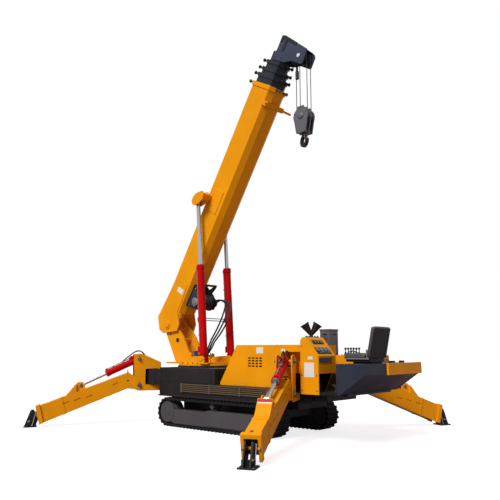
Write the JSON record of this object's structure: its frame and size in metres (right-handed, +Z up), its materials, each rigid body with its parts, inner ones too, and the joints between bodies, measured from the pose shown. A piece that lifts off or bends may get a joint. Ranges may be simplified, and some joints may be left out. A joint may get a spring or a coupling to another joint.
{
  "type": "compact crawler crane with outriggers",
  "caption": "Tracked crane with a slewing telescopic boom, twin luffing cylinders, hook block, engine hood, operator console, seat and swivelling outrigger legs.",
  "frame": {"origin": "on the ground under the middle of the crane's overall box", "axes": "+X towards the seat end, +Y to the right of the operator, who faces -X, +Z up"},
  "size_m": [6.6369, 6.1636, 7.8111],
  "materials": {
    "yellow_paint": "satin",
    "dark_paint": "satin",
    "slate_paint": "satin",
    "grey_steel": "satin",
    "red_paint": "satin",
    "chrome_rod": "polished",
    "track_rubber": "matte",
    "pipe_metal": "dull",
    "seat_vinyl": "satin",
    "black_plastic": "matte",
    "rope_steel": "greased",
    "blue_can": "satin",
    "frame_grey": "dusty"
  },
  "bodies": {
    "chassis": {"chassis_frame": "dark_paint", "track_frame_l": "frame_grey", "track_frame_r": "frame_grey", "track_belt_l": "track_rubber", "track_belt_r": "track_rubber", "side_pipes": "pipe_metal", "hood": "yellow_paint", "engine_block": "dark_paint", "console": "yellow_paint", "floor_plate": "dark_paint", "tank": "slate_paint", "rear_box": "yellow_paint", "lever_deck": "yellow_paint", "levers": "black_plastic", "cabinet": "grey_steel", "twin_lamps": "black_plastic", "seat_base": "black_plastic", "seat_cushion": "seat_vinyl", "seat_back": "seat_vinyl"},
    "slewing_table": {"turntable": "yellow_paint", "filter_canister": "blue_can"},
    "boom": {"boom_base": "yellow_paint", "winch": "dark_paint"},
    "boom_section_2": {"boom_2": "slate_paint"},
    "boom_section_3": {"boom_3": "slate_paint"},
    "boom_section_4": {"boom_4": "slate_paint"},
    "boom_section_5": {"boom_5": "slate_paint", "boom_head": "slate_paint", "head_sheaves": "dark_paint"},
    "rope_hanger": {"rope_falls": "rope_steel", "rope_socket": "dark_paint"},
    "block": {"hook_block": "grey_steel"},
    "load_hook": {"hook": "dark_paint"},
    "luffing_barrel_l": {"luff_barrel_l": "red_paint"},
    "luffing_rod_l": {"luff_rod_l": "chrome_rod"},
    "luffing_barrel_r": {"luff_barrel_r": "red_paint"},
    "luffing_rod_r": {"luff_rod_r": "chrome_rod"},
    "swivel_bracket_fl": {"bracket_fl": "yellow_paint"},
    "outrigger_leg_fl": {"leg_fl": "yellow_paint"},
    "lift_barrel_body_fl": {"lift_barrel_fl": "red_paint"},
    "lift_rod_body_fl": {"lift_rod_fl": "chrome_rod"},
    "foot_pad_fl": {"foot_fl": "dark_paint"},
    "swivel_bracket_fr": {"bracket_fr": "yellow_paint"},
    "outrigger_leg_fr": {"leg_fr": "yellow_paint"},
    "lift_barrel_body_fr": {"lift_barrel_fr": "red_paint"},
    "lift_rod_body_fr": {"lift_rod_fr": "chrome_rod"},
    "foot_pad_fr": {"foot_fr": "dark_paint"},
    "swivel_bracket_rl": {"bracket_rl": "yellow_paint"},
    "outrigger_leg_rl": {"leg_rl": "yellow_paint"},
    "lift_barrel_body_rl": {"lift_barrel_rl": "red_paint"},
    "lift_rod_body_rl": {"lift_rod_rl": "chrome_rod"},
    "foot_pad_rl": {"foot_rl": "dark_paint"},
    "swivel_bracket_rr": {"bracket_rr": "yellow_paint"},
    "outrigger_leg_rr": {"leg_rr": "yellow_paint"},
    "lift_barrel_body_rr": {"lift_barrel_rr": "red_paint"},
    "lift_rod_body_rr": {"lift_rod_rr": "chrome_rod"},
    "foot_pad_rr": {"foot_rr": "dark_paint"}
  },
  "joints": [
    {"name": "slew", "type": "hinge", "parent": "chassis", "child": "slewing_table", "pos_m": [-1.03, 0, 1.19], "axis": [0, 0, 1], "continuous": true},
    {"name": "luff", "type": "hinge", "parent": "slewing_table", "child": "boom", "pos_m": [-2.06, 0, 2.05], "axis": [0, -1, 0], "range_deg": [-50, 19]},
    {"name": "telescope_2", "type": "slide", "parent": "boom", "child": "boom_section_2", "axis": [0.5105, 0, 0.8599], "range_m": [0, 3.65]},
    {"name": "telescope_3", "type": "slide", "parent": "boom_section_2", "child": "boom_section_3", "axis": [0.5105, 0, 0.8599], "range_m": [0, 3.65]},
    {"name": "telescope_4", "type": "slide", "parent": "boom_section_3", "child": "boom_section_4", "axis": [0.5105, 0, 0.8599], "range_m": [0, 3.65]},
    {"name": "telescope_5", "type": "slide", "parent": "boom_section_4", "child": "boom_section_5", "axis": [0.5105, 0, 0.8599], "range_m": [0, 3.65]},
    {"name": "rope_hang", "type": "hinge", "parent": "boom_section_5", "child": "rope_hanger", "pos_m": [1.60596, 0, 7.23504], "axis": [0, -1, 0], "range_deg": [-19, 50]},
    {"name": "hoist", "type": "slide", "parent": "rope_hanger", "child": "block", "axis": [0, 0, -1], "range_m": [-0.35, 3.2], "deforming": ["rope_falls"]},
    {"name": "hook_swivel", "type": "hinge", "parent": "block", "child": "load_hook", "pos_m": [1.60596, 0, 5.685], "axis": [0, 0, 1], "continuous": true},
    {"name": "luff_barrel_pivot_l", "type": "hinge", "parent": "slewing_table", "child": "luffing_barrel_l", "pos_m": [-0.72, -0.4, 1.312], "axis": [0, -1, 0], "range_deg": [-45, 17]},
    {"name": "luff_rod_slide_l", "type": "slide", "parent": "luffing_barrel_l", "child": "luffing_rod_l", "axis": [-0.0739, 0, 0.9973], "range_m": [-1.272, 0.466]},
    {"name": "luff_barrel_pivot_r", "type": "hinge", "parent": "slewing_table", "child": "luffing_barrel_r", "pos_m": [-0.72, 0.4, 1.312], "axis": [0, -1, 0], "range_deg": [-45, 17]},
    {"name": "luff_rod_slide_r", "type": "slide", "parent": "luffing_barrel_r", "child": "luffing_rod_r", "axis": [-0.0739, 0, 0.9973], "range_m": [-1.272, 0.466]},
    {"name": "leg_swivel_fl", "type": "hinge", "parent": "chassis", "child": "swivel_bracket_fl", "pos_m": [-1.9, -0.7, 0.945], "axis": [0, 0, 1], "range_deg": [-35, 35]},
    {"name": "leg_lift_fl", "type": "hinge", "parent": "swivel_bracket_fl", "child": "outrigger_leg_fl", "pos_m": [-2.0725, -0.99878, 0.775], "axis": [0.866, -0.5, 0], "range_deg": [-45, 10]},
    {"name": "lift_barrel_pivot_fl", "type": "hinge", "parent": "swivel_bracket_fl", "child": "lift_barrel_body_fl", "pos_m": [-2.079, -1.01004, 1.308], "axis": [0.866, -0.5, 0], "range_deg": [-45, 10]},
    {"name": "lift_rod_slide_fl", "type": "slide", "parent": "lift_barrel_body_fl", "child": "lift_rod_body_fl", "axis": [-0.4546, -0.7873, -0.4165], "range_m": [-0.41, 0.092]},
    {"name": "foot_tilt_fl", "type": "hinge", "parent": "outrigger_leg_fl", "child": "foot_pad_fl", "pos_m": [-3.05, -2.69186, 0.225], "axis": [0.866, -0.5, 0], "range_deg": [-15, 15]},
    {"name": "leg_swivel_fr", "type": "hinge", "parent": "chassis", "child": "swivel_bracket_fr", "pos_m": [-1.9, 0.7, 0.945], "axis": [0, 0, -1], "range_deg": [-35, 35]},
    {"name": "leg_lift_fr", "type": "hinge", "parent": "swivel_bracket_fr", "child": "outrigger_leg_fr", "pos_m": [-2.0725, 0.99878, 0.775], "axis": [-0.866, -0.5, 0], "range_deg": [-45, 10]},
    {"name": "lift_barrel_pivot_fr", "type": "hinge", "parent": "swivel_bracket_fr", "child": "lift_barrel_body_fr", "pos_m": [-2.079, 1.01004, 1.308], "axis": [-0.866, -0.5, 0], "range_deg": [-45, 10]},
    {"name": "lift_rod_slide_fr", "type": "slide", "parent": "lift_barrel_body_fr", "child": "lift_rod_body_fr", "axis": [-0.4546, 0.7873, -0.4165], "range_m": [-0.41, 0.092]},
    {"name": "foot_tilt_fr", "type": "hinge", "parent": "outrigger_leg_fr", "child": "foot_pad_fr", "pos_m": [-3.05, 2.69186, 0.225], "axis": [-0.866, -0.5, 0], "range_deg": [-15, 15]},
    {"name": "leg_swivel_rl", "type": "hinge", "parent": "chassis", "child": "swivel_bracket_rl", "pos_m": [1.75, -0.72, 0.945], "axis": [0, 0, -1], "range_deg": [-17, 35]},
    {"name": "leg_lift_rl", "type": "hinge", "parent": "swivel_bracket_rl", "child": "outrigger_leg_rl", "pos_m": [1.8958, -1.03268, 0.775], "axis": [0.9063, 0.4226, 0], "range_deg": [-45, 10]},
    {"name": "lift_barrel_pivot_rl", "type": "hinge", "parent": "swivel_bracket_rl", "child": "lift_barrel_body_rl", "pos_m": [1.9013, -1.04446, 1.308], "axis": [0.9063, 0.4226, 0], "range_deg": [-45, 10]},
    {"name": "lift_rod_slide_rl", "type": "slide", "parent": "lift_barrel_body_rl", "child": "lift_rod_body_rl", "axis": [0.3842, -0.824, -0.4165], "range_m": [-0.41, 0.092]},
    {"name": "foot_tilt_rl", "type": "hinge", "parent": "outrigger_leg_rl", "child": "foot_pad_rl", "pos_m": [2.72202, -2.80451, 0.225], "axis": [0.9063, 0.4226, 0], "range_deg": [-15, 15]},
    {"name": "leg_swivel_rr", "type": "hinge", "parent": "chassis", "child": "swivel_bracket_rr", "pos_m": [1.75, 0.72, 0.945], "axis": [0, 0, 1], "range_deg": [-17, 35]},
    {"name": "leg_lift_rr", "type": "hinge", "parent": "swivel_bracket_rr", "child": "outrigger_leg_rr", "pos_m": [1.8958, 1.03268, 0.775], "axis": [-0.9063, 0.4226, 0], "range_deg": [-45, 10]},
    {"name": "lift_barrel_pivot_rr", "type": "hinge", "parent": "swivel_bracket_rr", "child": "lift_barrel_body_rr", "pos_m": [1.9013, 1.04446, 1.308], "axis": [-0.9063, 0.4226, 0], "range_deg": [-45, 10]},
    {"name": "lift_rod_slide_rr", "type": "slide", "parent": "lift_barrel_body_rr", "child": "lift_rod_body_rr", "axis": [0.3842, 0.824, -0.4165], "range_m": [-0.41, 0.092]},
    {"name": "foot_tilt_rr", "type": "hinge", "parent": "outrigger_leg_rr", "child": "foot_pad_rr", "pos_m": [2.72202, 2.80451, 0.225], "axis": [-0.9063, 0.4226, 0], "range_deg": [-15, 15]}
  ],
  "couplings": [
    {"joint": "telescope_3", "follows": "telescope_2", "ratio": 1},
    {"joint": "telescope_4", "follows": "telescope_2", "ratio": 1},
    {"joint": "telescope_5", "follows": "telescope_2", "ratio": 1},
    {"joint": "rope_hang", "follows": "luff", "ratio": -1},
    {"joint": "luff_barrel_pivot_l", "follows": "luff", "ratio": 0.85},
    {"joint": "luff_rod_slide_l", "follows": "luff", "m_per_rad": 1.4},
    {"joint": "luff_barrel_pivot_r", "follows": "luff", "ratio": 0.85},
    {"joint": "luff_rod_slide_r", "follows": "luff", "m_per_rad": 1.4},
    {"joint": "lift_barrel_pivot_fl", "follows": "leg_lift_fl", "ratio": 0.98},
    {"joint": "lift_rod_slide_fl", "follows": "leg_lift_fl", "m_per_rad": 0.516},
    {"joint": "lift_barrel_pivot_fr", "follows": "leg_lift_fr", "ratio": 0.98},
    {"joint": "lift_rod_slide_fr", "follows": "leg_lift_fr", "m_per_rad": 0.516},
    {"joint": "lift_barrel_pivot_rl", "follows": "leg_lift_rl", "ratio": 0.98},
    {"joint": "lift_rod_slide_rl", "follows": "leg_lift_rl", "m_per_rad": 0.516},
    {"joint": "lift_barrel_pivot_rr", "follows": "leg_lift_rr", "ratio": 0.98},
    {"joint": "lift_rod_slide_rr", "follows": "leg_lift_rr", "m_per_rad": 0.516}
  ]
}
